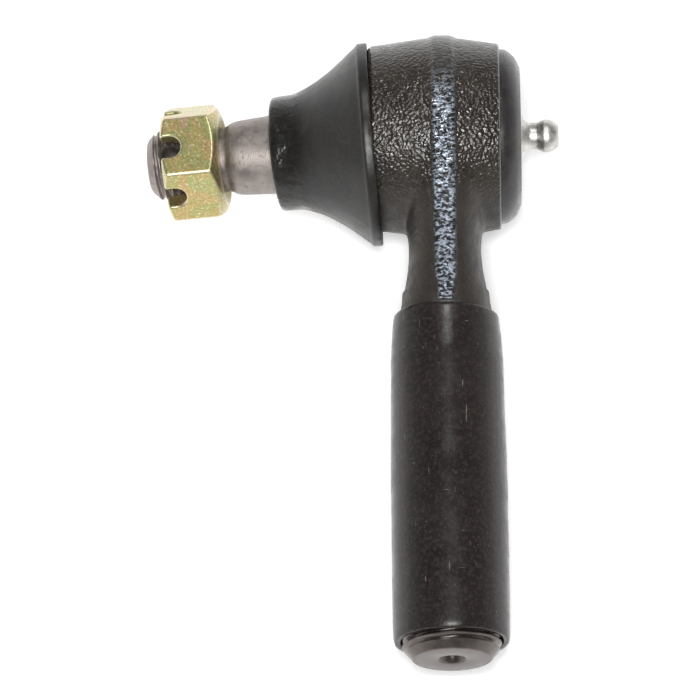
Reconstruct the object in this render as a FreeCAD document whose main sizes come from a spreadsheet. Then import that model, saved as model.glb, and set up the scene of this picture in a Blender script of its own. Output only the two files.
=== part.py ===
import FreeCAD, Part
import math
import os
import Sketcher

# Tie rod end, greasable, with a threaded male shank.
# Frame: origin at the centre of the ball, +X along the socket axis towards the cap and
# grease nipple, -Y along the shank, +Z up.  The stud leans a few degrees from -X.
# Millimetres throughout.

doc = FreeCAD.newDocument("TieRodEnd")
V3 = FreeCAD.Vector

# ---------------------------------------------------------------- driving dimensions
DIMS = [
    # forged socket, sizes along and about X
    ("parting_rad", 20.0), ("flash_rad", 20.3), ("flash_width", 4.6),
    ("socket_stud_end", 15.0), ("socket_stud_rad", 18.3), ("socket_step", 11.4),
    ("socket_cap_rad", 18.45), ("lip_rad", 17.45), ("lip_end", 15.5), ("lip_bore_rad", 13.4),
    ("plug_seat_rad", 15.9), ("plug_seat_from", 10.9), ("plug_seat_to", 13.3),
    ("socket_bore_rad", 15.2), ("bearing_step", 7.2), ("throat_rad", 11.0), ("mouth_rad", 14.2),
    # neck and shank, distances down the shank from the ball centre
    ("neck_start", 11.0), ("neck_mid", 22.5), ("neck_mid_half", 7.15), ("neck_mid_deep", 11.6),
    ("shank_start", 38.0), ("shank_rad", 9.6), ("thread_start", 40.0), ("thread_major", 9.9),
    ("thread_minor", 9.0), ("shank_end", 109.0), ("shank_end_rad", 7.85),
    ("drill_mouth", 2.65), ("drill_pilot", 1.25), ("drill_depth", 7.5),
    # thread protector sleeve
    ("sleeve_top", 37.7), ("sleeve_end", 105.5), ("sleeve_bore", 10.02), ("sleeve_rad", 11.65),
    ("sleeve_top_rad", 10.45),
    # ball stud, distances along the stud from the ball centre
    ("ball_rad", 12.5), ("ball_flat", 9.3), ("stem_rad", 7.3), ("taper_from", 21.5),
    ("taper_to", 41.6), ("taper_ref", 7.95), ("taper_ref_at", 33.4), ("stud_neck_rad", 6.45),
    ("stud_thread_from", 45.4), ("stud_thread_major", 6.95), ("stud_thread_minor", 6.1),
    ("stud_tip", 59.3), ("cotter_hole_at", 54.4), ("cotter_hole_rad", 1.6),
    ("stud_lean_side", 2.42), ("stud_lean_back", 8.13),
    # slotted nut
    ("nut_face", 44.2), ("nut_height", 11.7), ("nut_across_flats", 21.0), ("nut_bore", 7.05),
    ("slot_width", 4.5), ("slot_depth", 4.3), ("nut_turn", 28.0),
    # dust boot and its collar ring
    ("boot_lip_at", 13.6), ("boot_lip_rad", 20.35), ("boot_lip_bore", 19.15), ("boot_small_end", 33.65),
    ("boot_collar_rad", 11.55), ("boot_bore", 8.45), ("ring_from", 29.3), ("ring_to", 32.0),
    ("ring_rad", 9.65), ("lip_centre_x", 13.65), ("lip_centre_y", 0.98), ("lip_centre_z", 0.74),
    ("lip_lean_y", 0.0596), ("lip_lean_z", 0.0375),
    # bearings, spring and plug
    ("seat_sphere", 12.58), ("bearing_rad", 15.12), ("upper_back", 0.6), ("seat_front", 1.0),
    ("seat_back", 9.3), ("spring_thick", 1.2), ("spring_outer", 13.3), ("spring_inner", 8.2),
    ("spring_rise", 1.1), ("plug_rad", 15.82), ("plug_inner_face", 10.97), ("plug_outer_face", 13.22),
    ("plug_dome", 14.9), ("plug_hole", 3.0),
    # grease nipple
    ("nipple_shank", 2.97), ("nipple_flare", 4.55), ("nipple_neck", 2.68), ("nipple_head", 3.3),
    ("nipple_end", 23.1), ("nipple_bore", 1.2), ("check_ball_rad", 1.08), ("check_ball_at", 21.75),
    ("check_wire", 0.16), ("check_coil", 0.88), ("check_spring_from", 15.4), ("check_pitch", 0.93),
]
sheet = doc.addObject("Spreadsheet::Sheet", "Dims")
D = {}
for i, (alias, value) in enumerate(DIMS, start=1):
    sheet.set("A%d" % i, alias)
    sheet.set("B%d" % i, repr(value))
    sheet.setAlias("B%d" % i, alias)
    D[alias] = value
doc.recompute()


class Q:
    """A length written both as a sheet expression and as its present number."""

    def __init__(self, text, number):
        self.text = text
        self.number = number

    def _other(self, o):
        return o if isinstance(o, Q) else Q(repr(float(o)), float(o))

    def __add__(self, o):
        o = self._other(o)
        return Q("(%s + %s)" % (self.text, o.text), self.number + o.number)

    def __sub__(self, o):
        o = self._other(o)
        return Q("(%s - %s)" % (self.text, o.text), self.number - o.number)

    def __mul__(self, o):
        o = self._other(o)
        return Q("(%s * %s)" % (self.text, o.text), self.number * o.number)

    def __neg__(self):
        return Q("(0 - %s)" % self.text, -self.number)


def dim(name):
    return Q("Dims." + name, D[name])


def num(v):
    return v.number if isinstance(v, Q) else float(v)


def bind(obj, prop, value):
    if isinstance(value, Q):
        obj.setExpression(prop, value.text)
    else:
        setattr(obj, prop, value)


def plane(body, role):
    for feature in body.Origin.OriginFeatures:
        if feature.Role == role:
            return feature
    raise RuntimeError("no " + role)


def new_body(name):
    body = doc.addObject("PartDesign::Body", name)
    return body


def outline(body, name, points, role="XY_Plane", offset=None):
    """Closed straight-sided profile; every coordinate that is a Q is bound to the sheet."""
    sk = body.newObject("Sketcher::SketchObject", name)
    sk.AttachmentSupport = [(plane(body, role), "")]
    sk.MapMode = "FlatFace"
    if offset is not None:
        sk.AttachmentOffset = FreeCAD.Placement(V3(0, 0, num(offset)), FreeCAD.Rotation())
        if isinstance(offset, Q):
            sk.setExpression(".AttachmentOffset.Base.z", offset.text)
    pts = [V3(num(a), num(b), 0) for a, b in points]
    n = len(pts)
    for i in range(n):
        sk.addGeometry(Part.LineSegment(pts[i], pts[(i + 1) % n]), False)
    cons = []
    bound = []
    for i in range(n):
        cons.append(Sketcher.Constraint("Coincident", i, 2, (i + 1) % n, 1))
    for i, (a, b) in enumerate(points):
        for kind, val in (("DistanceX", a), ("DistanceY", b)):
            cons.append(Sketcher.Constraint(kind, i, 1, num(val)))
            if isinstance(val, Q):
                bound.append((len(cons) - 1, val.text))
    sk.addConstraint(cons)
    for index, text in bound:
        sk.setExpression("Constraints[%d]" % index, text)
    return sk


def revolve(body, name, points, axis="H_Axis", kind="PartDesign::Revolution"):
    sk = outline(body, name + "Profile", points)
    rev = body.newObject(kind, name)
    rev.Profile = sk
    rev.ReferenceAxis = (sk, [axis])
    rev.Angle = 360.0
    body.Tip = rev
    return rev


def thread_profile(start, stop, major, minor, pitch):
    """Rounds of a thread as (along, radius) pairs between start and stop."""
    rows = []
    count = int(round((num(stop) - num(start)) / num(pitch)))
    for i in range(count):
        a = start + pitch * float(i)
        rows.append((a + pitch * 0.06, minor))
        rows.append((a + pitch * 0.44, major))
        rows.append((a + pitch * 0.56, major))
        rows.append((a + pitch * 0.94, minor))
    return rows


# ---------------------------------------------------------------- stud frame
lean_a = math.radians(D["stud_lean_side"])
lean_b = math.radians(D["stud_lean_back"])
S = V3(-math.cos(lean_a) * math.cos(lean_b), -math.sin(lean_a) * math.cos(lean_b), -math.sin(lean_b))
UP = V3(0, 0, 1)
ez = UP - S * UP.dot(S)
ez.normalize()
ey = ez.cross(S)
# local x runs out along the stud, local z stays nearly upright
STUD = FreeCAD.Placement(FreeCAD.Matrix(S.x, ey.x, ez.x, 0, S.y, ey.y, ez.y, 0,
                                        S.z, ey.z, ez.z, 0, 0, 0, 0, 1))

parts = {}

# ---------------------------------------------------------------- housing
sock = new_body("SocketForging")
revolve(sock, "SocketRevolve", [
    (-dim("socket_stud_end"), 0.0),
    (-dim("socket_stud_end"), dim("socket_stud_rad") - 0.9),
    (-dim("socket_stud_end") + 0.35, dim("socket_stud_rad") - 0.25),
    (-dim("socket_stud_end") + 1.0, dim("socket_stud_rad")),
    (-7.5, dim("socket_stud_rad") + 0.95),
    (-3.1, dim("parting_rad") - 0.1),
    (-2.3, dim("parting_rad")),
    (2.3, dim("parting_rad")),
    (3.1, dim("parting_rad") - 0.1),
    (6.9, dim("socket_cap_rad") + 0.75),
    (dim("socket_step") - 0.25, dim("socket_cap_rad")),
    (dim("socket_step"), dim("socket_cap_rad") - 0.25),
    (dim("socket_step"), dim("lip_rad")),
    (dim("lip_end") - 3.1, dim("lip_rad") - 0.12),
    (dim("lip_end") - 2.1, dim("lip_rad") - 0.65),
    (dim("lip_end") - 1.2, dim("lip_rad") - 1.45),
    (dim("lip_end") - 0.55, dim("lip_rad") - 2.35),
    (dim("lip_end") - 0.15, dim("lip_rad") - 3.25),
    (dim("lip_end"), dim("lip_rad") - 3.7),
    (dim("lip_end"), 0.0),
])

# neck: ellipses down the shank, deep where they leave the socket and waisted in the middle
NECK = [
    # distance, half width across X, half depth across Z
    (dim("neck_start"), 9.4, 15.6), (14.0, 8.7, 14.4), (18.0, 7.75, 12.9),
    (dim("neck_mid"), dim("neck_mid_half"), dim("neck_mid_deep")),
    (27.0, 7.4, 10.7), (31.0, 8.1, 10.15), (34.5, 8.85, 9.85),
    (dim("shank_start"), dim("shank_rad"), dim("shank_rad") + 0.05),
]
sections = []
for i, (down, half, deep) in enumerate(NECK):
    e = doc.addObject("Part::Ellipse", "NeckSection%d" % i)
    bind(e, "MajorRadius", deep)
    bind(e, "MinorRadius", half)
    # ellipse plane is XZ with its long axis along Z
    e.Placement = FreeCAD.Placement(V3(0, -num(down), 0),
                                    FreeCAD.Rotation(V3(0, 0, 1), V3(-1, 0, 0), V3(0, -1, 0), "XYZ"))
    if isinstance(down, Q):
        e.setExpression(".Placement.Base.y", (-down).text)
    sections.append(e)
neck = doc.addObject("Part::Loft", "NeckLoft")
neck.Sections = sections
neck.Solid = True
neck.Ruled = False

shank = new_body("ShankTurned")
pts = [(0.0, -(dim("shank_start") - 3.0)), (dim("shank_rad") - 0.35, -(dim("shank_start") - 3.0)),
       (dim("shank_rad") - 0.35, -dim("shank_start") - 1.4)]
# relief, then the thread's major cylinder (its helix is a surface detail)
pts += [(dim("thread_minor"), -dim("shank_start") - 2.1), (dim("thread_minor"), -dim("thread_start") - 1.6),
        (dim("thread_major"), -dim("thread_start") - 2.5)]
pts += [(dim("thread_major"), -(dim("shank_end") - 2.4)),
        (dim("shank_end_rad"), -dim("shank_end")), (0.0, -dim("shank_end"))]
revolve(shank, "ShankRevolve", pts, axis="V_Axis")

# flash band: trimmed parting-line rib round the socket and down both sides of the neck
ring = doc.addObject("Part::Cylinder", "FlashRing")
bind(ring, "Radius", dim("flash_rad"))
bind(ring, "Height", dim("flash_width"))
ring.Placement = FreeCAD.Placement(V3(-D["flash_width"] / 2, 0, 0), FreeCAD.Rotation(V3(0, 1, 0), 90))
ring.setExpression(".Placement.Base.x", "0 - Dims.flash_width / 2")
band = new_body("FlashBand")
zs = [(8.0, 15.9), (12.5, 15.4), (15.0, 14.45), (18.0, 13.3), (dim("neck_mid"), dim("neck_mid_deep") + 0.4),
      (27.0, 11.1), (31.0, 10.5), (35.5, 10.05), (36.6, 9.4)]
bp = [(-a if isinstance(a, Q) else -a, b) for a, b in zs]
bp += [(-a if isinstance(a, Q) else -a, -b) for a, b in reversed(zs)]
bsk = outline(band, "FlashBandProfile", bp, role="YZ_Plane")
pad = band.newObject("PartDesign::Pad", "FlashBandPad")
pad.Profile = bsk
bind(pad, "Length", dim("flash_width") * 0.85)
pad.SideType = "Symmetric"
band.Tip = pad

bore = new_body("SocketBore")
revolve(bore, "BoreRevolve", [
    (-dim("socket_stud_end") - 1.0, 0.0),
    (-dim("socket_stud_end") - 1.0, dim("mouth_rad") + 0.42),
    (-dim("bearing_step"), dim("throat_rad")),
    (-dim("bearing_step"), dim("socket_bore_rad")),
    (dim("plug_seat_from"), dim("socket_bore_rad")),
    (dim("plug_seat_from"), dim("plug_seat_rad")),
    (dim("plug_seat_to"), dim("plug_seat_rad")),
    (dim("plug_seat_to"), dim("lip_bore_rad")),
    (dim("lip_end") - 0.4, dim("lip_bore_rad")),
    (dim("lip_end") + 1.0, dim("lip_bore_rad") + 1.4),
    (dim("lip_end") + 1.0, 0.0),
])
centre = new_body("CentreDrill")
revolve(centre, "CentreDrillRevolve", [
    (0.0, -(dim("shank_end") + 0.5)),
    (dim("drill_mouth") + 0.29, -(dim("shank_end") + 0.5)),
    (dim("drill_pilot"), -(dim("shank_end") - 2.42)),
    (dim("drill_pilot"), -(dim("shank_end") - dim("drill_depth"))),
    (0.0, -(dim("shank_end") - dim("drill_depth") - 0.7)),
], axis="V_Axis")

solid = doc.addObject("Part::MultiFuse", "HousingSolid")
solid.Shapes = [sock, neck, shank, ring, band]
holes = doc.addObject("Part::MultiFuse", "HousingHoles")
holes.Shapes = [bore, centre]
housing = doc.addObject("Part::Cut", "Housing")
housing.Base = solid
housing.Tool = holes
parts["housing"] = housing

# ---------------------------------------------------------------- thread protector sleeve
sleeve = new_body("Sleeve")
revolve(sleeve, "SleeveRevolve", [
    (dim("sleeve_bore"), -dim("sleeve_top")),
    (dim("sleeve_top_rad") - 0.1, -dim("sleeve_top")),
    (dim("sleeve_top_rad") + 0.1, -(dim("sleeve_top") + 0.7)),
    (10.85, -41.3), (11.05, -44.2), (11.25, -47.2), (11.35, -56.0), (11.5, -64.8),
    (dim("sleeve_rad"), -73.6), (dim("sleeve_rad"), -(dim("sleeve_end") - 4.5)),
    (dim("sleeve_rad") - 0.15, -(dim("sleeve_end") - 0.5)),
    (dim("sleeve_rad") - 0.4, -dim("sleeve_end")),
    (dim("sleeve_bore") + 0.25, -dim("sleeve_end")),
    (dim("sleeve_bore") + 0.1, -(dim("sleeve_end") - 1.0)),
    (dim("sleeve_bore"), -(dim("sleeve_end") - 4.0)),
], axis="V_Axis")
parts["thread_protector"] = sleeve

# ---------------------------------------------------------------- ball stud
stud_body = new_body("StudTurned")
ball = stud_body.newObject("PartDesign::AdditiveSphere", "Ball")
bind(ball, "Radius", dim("ball_rad"))


def taper_r(at):
    # 1 in 8 on the diameter
    return dim("taper_ref") + (dim("taper_ref_at") - at) * 0.0625


rows = thread_profile(dim("stud_thread_from"), dim("stud_thread_from") + 12.0,
                      dim("stud_thread_major"), dim("stud_thread_minor"), Q("1.5", 1.5))
stem = [
    (6.0, 0.0), (6.0, dim("stem_rad")), (14.5, dim("stem_rad")), (17.0, dim("stem_rad") + 0.25),
    (19.5, dim("stem_rad") + 0.9), (dim("taper_from"), taper_r(dim("taper_from"))),
    (dim("taper_to"), taper_r(dim("taper_to"))), (dim("taper_to") + 1.1, dim("stud_neck_rad") + 0.5),
    (dim("taper_to") + 1.8, dim("stud_neck_rad")),
    (dim("stud_thread_from") - 0.2, dim("stud_neck_rad")),
]
stem += rows
stem += [(dim("stud_tip") - 1.75, dim("stud_thread_major") - 0.1),
         (dim("stud_tip") - 0.25, dim("stud_thread_minor") - 0.75),
         (dim("stud_tip"), dim("stud_thread_minor") - 1.15), (dim("stud_tip"), 0.0)]
revolve(stud_body, "StemRevolve", stem)
cotter = doc.addObject("Part::Cylinder", "CotterHole")
bind(cotter, "Radius", dim("cotter_hole_rad"))
cotter.Height = 20.0
# the hole lines up with one pair of the nut's slots
cotter.Placement = FreeCAD.Placement(
    V3(D["cotter_hole_at"], 0, 0), FreeCAD.Rotation(V3(1, 0, 0), 30.0 - D["nut_turn"])).multiply(
    FreeCAD.Placement(V3(0, 0, -10), FreeCAD.Rotation()))
flat = doc.addObject("Part::Box", "BallFlatCut")
flat.Length = 6.0
flat.Width = 30.0
flat.Height = 30.0
flat.Placement = FreeCAD.Placement(V3(-D["ball_flat"] - 6.0, -15, -15), FreeCAD.Rotation())
flat.setExpression(".Placement.Base.x", "0 - Dims.ball_flat - 6.0")
studcuts = doc.addObject("Part::MultiFuse", "StudCuts")
studcuts.Shapes = [cotter, flat]
stud = doc.addObject("Part::Cut", "BallStud")
stud.Base = stud_body
stud.Tool = studcuts
stud.Placement = STUD
parts["ball_stud"] = stud

# ---------------------------------------------------------------- slotted nut
hexagon = doc.addObject("Part::Prism", "NutHexagon")
hexagon.Polygon = 6
hexagon.setExpression("Circumradius", "Dims.nut_across_flats / 1.7320508")
bind(hexagon, "Height", dim("nut_height"))
# prism axis along local x; its first corner, at the local z direction, is turned by nut_turn
hexagon.Placement = FreeCAD.Placement(
    V3(D["nut_face"], 0, 0),
    FreeCAD.Rotation(V3(1, 0, 0), -D["nut_turn"]).multiply(FreeCAD.Rotation(V3(0, 1, 0), 90)))
hexagon.setExpression(".Placement.Base.x", "Dims.nut_face")
blank = new_body("NutBlank")
far = dim("nut_face") + dim("nut_height")
revolve(blank, "NutBlankRevolve", [
    (dim("nut_face"), 0.0), (dim("nut_face"), 9.1), (dim("nut_face") + 1.77, 12.25),
    (far - 1.1, 12.25), (far - 0.3, 10.7), (far, 10.05), (far, 0.0),
])
nutcommon = doc.addObject("Part::Common", "NutChamfered")
nutcommon.Base = hexagon
nutcommon.Tool = blank
nutbore = new_body("NutBore")
revolve(nutbore, "NutBoreRevolve", [
    (dim("nut_face") - 1.0, 0.0), (dim("nut_face") - 1.0, dim("nut_bore") + 1.9),
    (dim("nut_face") + 0.9, dim("nut_bore")), (far - 0.7, dim("nut_bore")),
    (far + 1.0, dim("nut_bore") + 1.7), (far + 1.0, 0.0),
])
slots = []
for i in range(3):
    turn = 30.0 + 60.0 * i - D["nut_turn"]
    box = doc.addObject("Part::Box", "SlotFlank%d" % i)
    bind(box, "Length", dim("slot_depth"))
    bind(box, "Width", dim("slot_width"))
    box.Height = 30.0
    rot = FreeCAD.Rotation(V3(1, 0, 0), turn)
    deep = D["slot_depth"] - D["slot_width"] / 2
    x0 = D["nut_face"] + D["nut_height"] - deep
    box.Placement = FreeCAD.Placement(V3(x0, 0, 0), rot).multiply(
        FreeCAD.Placement(V3(0, -D["slot_width"] / 2, -15), FreeCAD.Rotation()))
    root = doc.addObject("Part::Cylinder", "SlotRoot%d" % i)
    root.setExpression("Radius", "Dims.slot_width / 2")
    root.Height = 30.0
    root.Placement = FreeCAD.Placement(V3(x0, 0, 0), rot).multiply(
        FreeCAD.Placement(V3(0, 0, -15), FreeCAD.Rotation()))
    slots += [box, root]
nutcuts = doc.addObject("Part::MultiFuse", "NutCuts")
nutcuts.Shapes = [nutbore] + slots
nut = doc.addObject("Part::Cut", "SlottedNut")
nut.Base = nutcommon
nut.Tool = nutcuts
nut.Placement = STUD
parts["slotted_nut"] = nut

# ---------------------------------------------------------------- dust boot
# The lip sits on the end of the socket and leans less than the stud; the collar is square to
# the stud, and the wall between turns smoothly from one to the other.
LIP_C = V3(-D["lip_centre_x"], -D["lip_centre_y"], -D["lip_centre_z"])
LIP_N = V3(-1.0, -D["lip_lean_y"], -D["lip_lean_z"])
LIP_N.normalize()


def station(at):
    """Centre and normal of the boot's section at a distance along the stud."""
    t = (at - D["boot_lip_at"] - 2.2) / (28.5 - D["boot_lip_at"] - 2.2)
    t = min(1.0, max(0.0, t))
    w = t * t * (3.0 - 2.0 * t)
    c = (LIP_C + LIP_N * (at - D["boot_lip_at"])) * (1.0 - w) + S * at * w
    n = LIP_N * (1.0 - w) + S * w
    n.normalize()
    return c, n


def boot_loft(name, rows):
    circles = []
    for i, (at, rad) in enumerate(rows):
        c, n = station(num(at))
        circle = doc.addObject("Part::Circle", "%sSection%d" % (name, i))
        bind(circle, "Radius", rad)
        up = UP - n * UP.dot(n)
        up.normalize()
        side = up.cross(n)
        circle.Placement = FreeCAD.Placement(FreeCAD.Matrix(
            side.x, up.x, -n.x, c.x, side.y, up.y, -n.y, c.y, side.z, up.z, -n.z, c.z, 0, 0, 0, 1))
        circles.append(circle)
    loft = doc.addObject("Part::Loft", name)
    loft.Sections = circles
    loft.Solid = True
    loft.Ruled = True
    return loft


lip0 = dim("boot_lip_at")
boot_outer = boot_loft("BootOuter", [
    (lip0, dim("boot_lip_rad") - 0.15), (lip0 + 0.2, dim("boot_lip_rad")),
    (lip0 + 2.1, dim("boot_lip_rad")), (17.4, 18.7), (19.1, 17.2), (20.8, 15.87), (22.6, 14.66),
    (24.3, 13.62), (26.0, 12.8), (27.6, 12.18), (29.0, dim("boot_collar_rad") + 0.17),
    (dim("boot_small_end") - 0.4, dim("boot_collar_rad") - 0.1),
    (dim("boot_small_end"), dim("boot_collar_rad") - 0.5)])
boot_inner = boot_loft("BootInner", [
    (lip0 - 0.5, dim("boot_lip_bore")), (15.6, dim("boot_lip_bore")), (16.4, 18.3), (17.8, 17.5),
    (18.3, 16.75), (20.8, 14.4), (24.3, 12.2), (26.9, 10.6), (28.6, dim("boot_bore") + 0.25)])
boot_bore = new_body("BootBore")
revolve(boot_bore, "BootBoreRevolve", [
    (28.0, 0.0), (28.0, dim("boot_bore") + 0.05), (dim("ring_from") - 0.1, dim("boot_bore") + 0.05),
    (dim("ring_from") - 0.1, dim("ring_rad") + 0.1), (dim("ring_to") + 0.1, dim("ring_rad") + 0.1),
    (dim("ring_to") + 0.1, dim("boot_bore") - 0.02), (dim("boot_small_end") + 1.0, dim("boot_bore") - 0.02),
    (dim("boot_small_end") + 1.0, 0.0),
])
boot_bore.Placement = STUD
boot_hollow = doc.addObject("Part::MultiFuse", "BootHollow")
boot_hollow.Shapes = [boot_inner, boot_bore]
boot = doc.addObject("Part::Cut", "DustBoot")
boot.Base = boot_outer
boot.Tool = boot_hollow
parts["dust_boot"] = boot

collar = new_body("CollarRing")
revolve(collar, "CollarRingRevolve", [
    (dim("ring_from"), dim("boot_bore")), (dim("ring_from"), dim("ring_rad") - 0.2),
    (dim("ring_from") + 0.2, dim("ring_rad")), (dim("ring_to") - 0.2, dim("ring_rad")),
    (dim("ring_to"), dim("ring_rad") - 0.2), (dim("ring_to"), dim("boot_bore")),
])
collar.Placement = STUD
parts["boot_collar_ring"] = collar

# ---------------------------------------------------------------- bearings
upper = new_body("UpperBearing")
revolve(upper, "UpperRevolve", [
    (-dim("bearing_step") + 0.03, 9.0), (-dim("bearing_step") + 0.03, dim("bearing_rad") - 0.4),
    (-dim("bearing_step") + 0.43, dim("bearing_rad")), (dim("upper_back") - 0.3, dim("bearing_rad")),
    (dim("upper_back"), dim("bearing_rad") - 0.3), (dim("upper_back"), 9.0),
])
hollow = upper.newObject("PartDesign::SubtractiveSphere", "UpperSphere")
bind(hollow, "Radius", dim("seat_sphere"))
upper.Tip = hollow
parts["upper_bearing"] = upper

seat = new_body("PressureSeat")
revolve(seat, "SeatRevolve", [
    (dim("seat_front"), 7.9), (dim("seat_front"), dim("bearing_rad") - 0.3),
    (dim("seat_front") + 0.3, dim("bearing_rad")), (dim("seat_back") - 0.9, dim("bearing_rad")),
    (dim("seat_back"), dim("bearing_rad") - 0.9), (dim("seat_back"), 7.9),
])
hollow = seat.newObject("PartDesign::SubtractiveSphere", "SeatSphere")
bind(hollow, "Radius", dim("seat_sphere"))
seat.Tip = hollow
parts["pressure_seat"] = seat

# disc spring between the seat and the plug, coned towards the cap
spring = new_body("DiscSpring")
revolve(spring, "DiscSpringRevolve", [
    (dim("seat_back") + 0.02, dim("spring_outer")),
    (dim("seat_back") + dim("spring_thick") + 0.02, dim("spring_outer") + 0.25),
    (dim("seat_back") + dim("spring_rise") + dim("spring_thick") + 0.02, dim("spring_inner") + 0.25),
    (dim("seat_back") + dim("spring_rise") + 0.02, dim("spring_inner")),
])
parts["pressure_spring"] = spring

# ---------------------------------------------------------------- end plug, rolled in under the lip
plug = new_body("EndPlug")
revolve(plug, "PlugRevolve", [
    (dim("plug_inner_face"), dim("plug_rad")), (dim("plug_outer_face"), dim("plug_rad")),
    (dim("plug_outer_face"), 10.2), (dim("plug_outer_face") + 0.35, 9.3),
    (dim("plug_dome") - 0.35, 6.6), (dim("plug_dome"), 5.7), (dim("plug_dome"), dim("plug_hole")),
    (12.75, dim("plug_hole")), (12.75, 5.0), (11.95, 7.2), (11.75, 8.4), (11.75, 13.75),
    (dim("plug_inner_face"), 14.1),
])
parts["end_plug"] = plug

# ---------------------------------------------------------------- grease nipple
nip = new_body("NippleBody")
tip = dim("nipple_end")
revolve(nip, "NippleRevolve", [
    (12.9, 0.0), (12.9, dim("nipple_shank") - 0.3), (13.2, dim("nipple_shank")),
    (dim("plug_dome") + 0.02, dim("nipple_shank")), (dim("plug_dome") + 0.02, dim("nipple_flare") + 0.1),
    (dim("plug_dome") + 0.35, dim("nipple_flare") + 0.1), (15.6, dim("nipple_flare") - 0.15), (16.1, 3.62),
    (16.7, 2.98), (17.3, dim("nipple_neck") + 0.03), (17.9, dim("nipple_neck")),
    (18.7, dim("nipple_neck")), (tip - 2.95, dim("nipple_head")), (tip - 2.0, dim("nipple_head")),
    (tip - 1.2, dim("nipple_head") - 0.3), (tip - 0.5, dim("nipple_head") - 0.75),
    (tip - 0.1, dim("nipple_head") - 1.15), (tip, dim("nipple_head") - 1.4), (tip, 0.0),
])
duct = new_body("NippleDuct")
revolve(duct, "NippleDuctRevolve", [
    (12.0, 0.0), (12.0, 0.6), (15.3, 0.6), (15.3, dim("nipple_bore")), (tip - 1.05, dim("nipple_bore")),
    (tip - 0.35, 0.8), (tip + 0.5, 0.95), (tip + 0.5, 0.0),
])
nipple = doc.addObject("Part::Cut", "GreaseNipple")
nipple.Base = nip
nipple.Tool = duct
parts["grease_nipple_body"] = nipple

check = doc.addObject("Part::Sphere", "CheckBall")
bind(check, "Radius", dim("check_ball_rad"))
check.Placement = FreeCAD.Placement(V3(D["check_ball_at"], 0, 0), FreeCAD.Rotation())
check.setExpression(".Placement.Base.x", "Dims.check_ball_at")
parts["nipple_check_ball"] = check

helix = doc.addObject("Part::Helix", "CheckHelix")
bind(helix, "Pitch", dim("check_pitch"))
helix.Height = 5.0
bind(helix, "Radius", dim("check_coil"))
wire = doc.addObject("Part::Circle", "CheckWire")
bind(wire, "Radius", dim("check_wire"))
wire.Placement = FreeCAD.Placement(V3(D["check_coil"], 0, 0), FreeCAD.Rotation(V3(1, 0, 0), 90))
coil = doc.addObject("Part::Sweep", "CheckSpring")
coil.Sections = [wire]
coil.Spine = (helix, ["Edge1"])
coil.Solid = True
coil.Frenet = True
coil.Placement = FreeCAD.Placement(V3(D["check_spring_from"] + 0.22, 0, 0), FreeCAD.Rotation(V3(0, 1, 0), 90))
parts["nipple_check_spring"] = coil

# ---------------------------------------------------------------- names, checks, files
for name, obj in parts.items():
    obj.Label = name
doc.recompute()
for obj in doc.Objects:
    for flag in ("Invalid", "Error"):
        if flag in obj.State:
            raise RuntimeError("%s is %s" % (obj.Name, flag))
for name, obj in parts.items():
    shape = obj.Shape
    if shape.isNull() or not shape.isValid() or len(shape.Solids) != 1:
        raise RuntimeError("%s: null, invalid or %d solids" % (name, len(shape.Solids)))
    b = shape.BoundBox
    print("%-22s vol %9.1f  x %7.2f %7.2f  y %7.2f %7.2f  z %7.2f %7.2f" % (
        name, shape.Volume, b.XMin, b.XMax, b.YMin, b.YMax, b.ZMin, b.ZMax))

os.makedirs("parts", exist_ok=True)
for name, obj in parts.items():
    obj.Shape.exportStep("parts/%s.step" % name)
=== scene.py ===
import bpy
import math
import numpy as np
from mathutils import Vector, Matrix, noise


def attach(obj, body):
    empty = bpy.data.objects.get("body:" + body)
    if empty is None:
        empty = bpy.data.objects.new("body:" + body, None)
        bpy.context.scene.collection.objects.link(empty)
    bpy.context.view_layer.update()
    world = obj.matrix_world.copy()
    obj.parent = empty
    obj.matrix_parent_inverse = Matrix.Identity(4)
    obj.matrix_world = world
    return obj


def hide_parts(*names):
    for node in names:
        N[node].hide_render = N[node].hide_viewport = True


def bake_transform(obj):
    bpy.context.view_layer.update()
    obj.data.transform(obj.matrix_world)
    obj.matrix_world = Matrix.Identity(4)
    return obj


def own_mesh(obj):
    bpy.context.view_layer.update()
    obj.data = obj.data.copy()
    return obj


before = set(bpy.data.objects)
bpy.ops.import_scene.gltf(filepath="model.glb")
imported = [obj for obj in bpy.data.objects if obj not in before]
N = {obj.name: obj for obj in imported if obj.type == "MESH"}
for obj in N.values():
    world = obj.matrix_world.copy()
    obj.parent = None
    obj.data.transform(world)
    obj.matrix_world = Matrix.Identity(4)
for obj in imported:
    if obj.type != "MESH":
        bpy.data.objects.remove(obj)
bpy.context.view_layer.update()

MM = 0.001

# ------------------------------------------------------------------ directions
la, lb = math.radians(2.42), math.radians(8.13)
S = np.array([-math.cos(la) * math.cos(lb), -math.sin(la) * math.cos(lb), -math.sin(lb)])
EZ = np.array([0, 0, 1.0]) - S * S[2]
EZ /= np.linalg.norm(EZ)
EY = np.cross(EZ, S)
STUD = np.stack([S, EY, EZ], axis=1)          # local (along, y, z) -> row
SOCKET = np.eye(3)                            # local x along +X
SHANK = np.array([[0, 1.0, 0], [-1.0, 0, 0], [0, 0, 1.0]])  # local x along -Y, local y along X

# ------------------------------------------------------------------ mesh helpers


def make(name, verts, faces, smooth=True, angle=35.0):
    """Object from millimetre vertices."""
    me = bpy.data.meshes.new(name)
    v = np.asarray(verts, float) * MM
    me.from_pydata([tuple(p) for p in v], [], [tuple(int(i) for i in f) for f in faces])
    me.validate()
    me.update()
    ob = bpy.data.objects.new(name, me)
    bpy.context.scene.collection.objects.link(ob)
    if smooth:
        me.shade_smooth()
        me.set_sharp_from_angle(angle=math.radians(angle))
    return ob


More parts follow.
